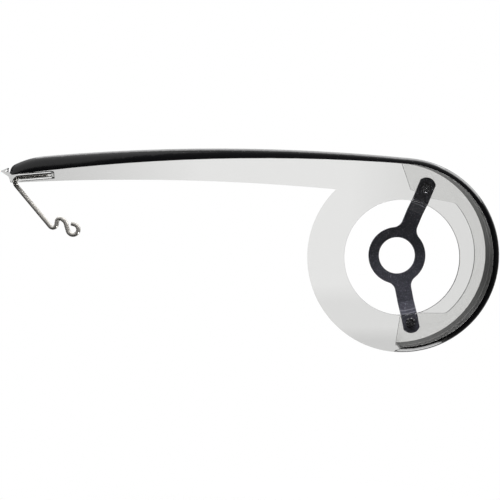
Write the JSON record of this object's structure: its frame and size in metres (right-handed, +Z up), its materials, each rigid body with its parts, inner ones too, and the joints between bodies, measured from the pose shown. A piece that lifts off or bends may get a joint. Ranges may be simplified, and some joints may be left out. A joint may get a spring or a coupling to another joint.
{
  "type": "bicycle chain guard",
  "caption": "Clear chain guard with a black rounded rim, a steel ring bracket that clamps at the bottom bracket, and a wire stay that swivels in the tail.",
  "frame": {"origin": "on the bottom bracket axis, in the bracket face that seats on the frame's shell", "axes": "+X towards the front wheel, +Y inboard towards the frame, +Z up"},
  "size_m": [0.4615, 0.0375, 0.1897],
  "materials": {
    "clear_plastic": "clear moulded polycarbonate",
    "black_plastic": "glossy black moulding",
    "coated_steel": "black textured powder coat on stamped steel",
    "dark_zinc": "black zinc plating",
    "stainless_wire": "drawn stainless wire"
  },
  "bodies": {
    "guard": {"clear_panel": "clear_plastic", "clear_tail": "clear_plastic", "stay_sleeve": "clear_plastic", "black_rim": "black_plastic", "inner_plate": "clear_plastic", "bracket": "coated_steel", "upper_screw": "dark_zinc", "lower_screw": "dark_zinc", "upper_washer": "dark_zinc", "lower_washer": "dark_zinc", "upper_nut": "dark_zinc", "lower_nut": "dark_zinc"},
    "stay": {"wire_stay": "stainless_wire"}
  },
  "joints": [
    {"name": "stay_swivel", "type": "hinge", "parent": "guard", "child": "stay", "pos_m": [-0.354, -0.0225, 0.0739], "axis": [0.9968, 0, 0.0802], "range_deg": [0, 110]}
  ]
}
